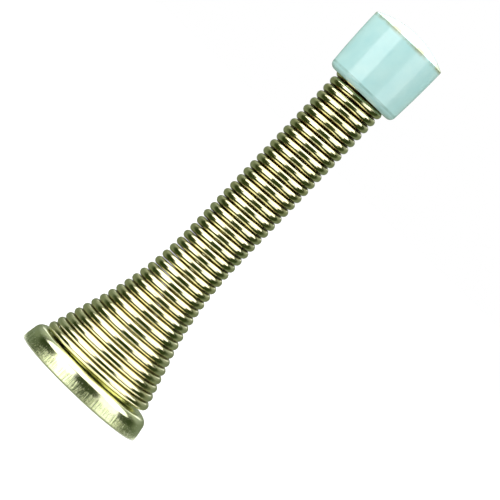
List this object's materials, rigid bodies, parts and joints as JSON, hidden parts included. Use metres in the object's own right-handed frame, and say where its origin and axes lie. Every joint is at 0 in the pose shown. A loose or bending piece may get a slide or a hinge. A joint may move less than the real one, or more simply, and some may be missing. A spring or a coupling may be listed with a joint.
{
  "type": "spring door stop",
  "caption": "Spring door stop: a round brass-plated base cup, a bell-mouthed close-wound wire spring and a white rubber tip that cushions an opening door.",
  "frame": {"origin": "centre of the base's back, in the plane where its rim meets the wall", "axes": "+Z along the axis of the spring, from the base out to the tip"},
  "size_m": [0.025, 0.025, 0.08],
  "materials": {
    "brass_sheet": "bright brass plating on pressed steel sheet",
    "brass_wire": "bright brass plating on drawn steel wire",
    "white_rubber": "satin white rubber with a pale aqua cast"
  },
  "bodies": {
    "root": {"base_cup": "brass_sheet", "spring": "brass_wire", "rubber_tip": "white_rubber"}
  },
  "joints": []
}
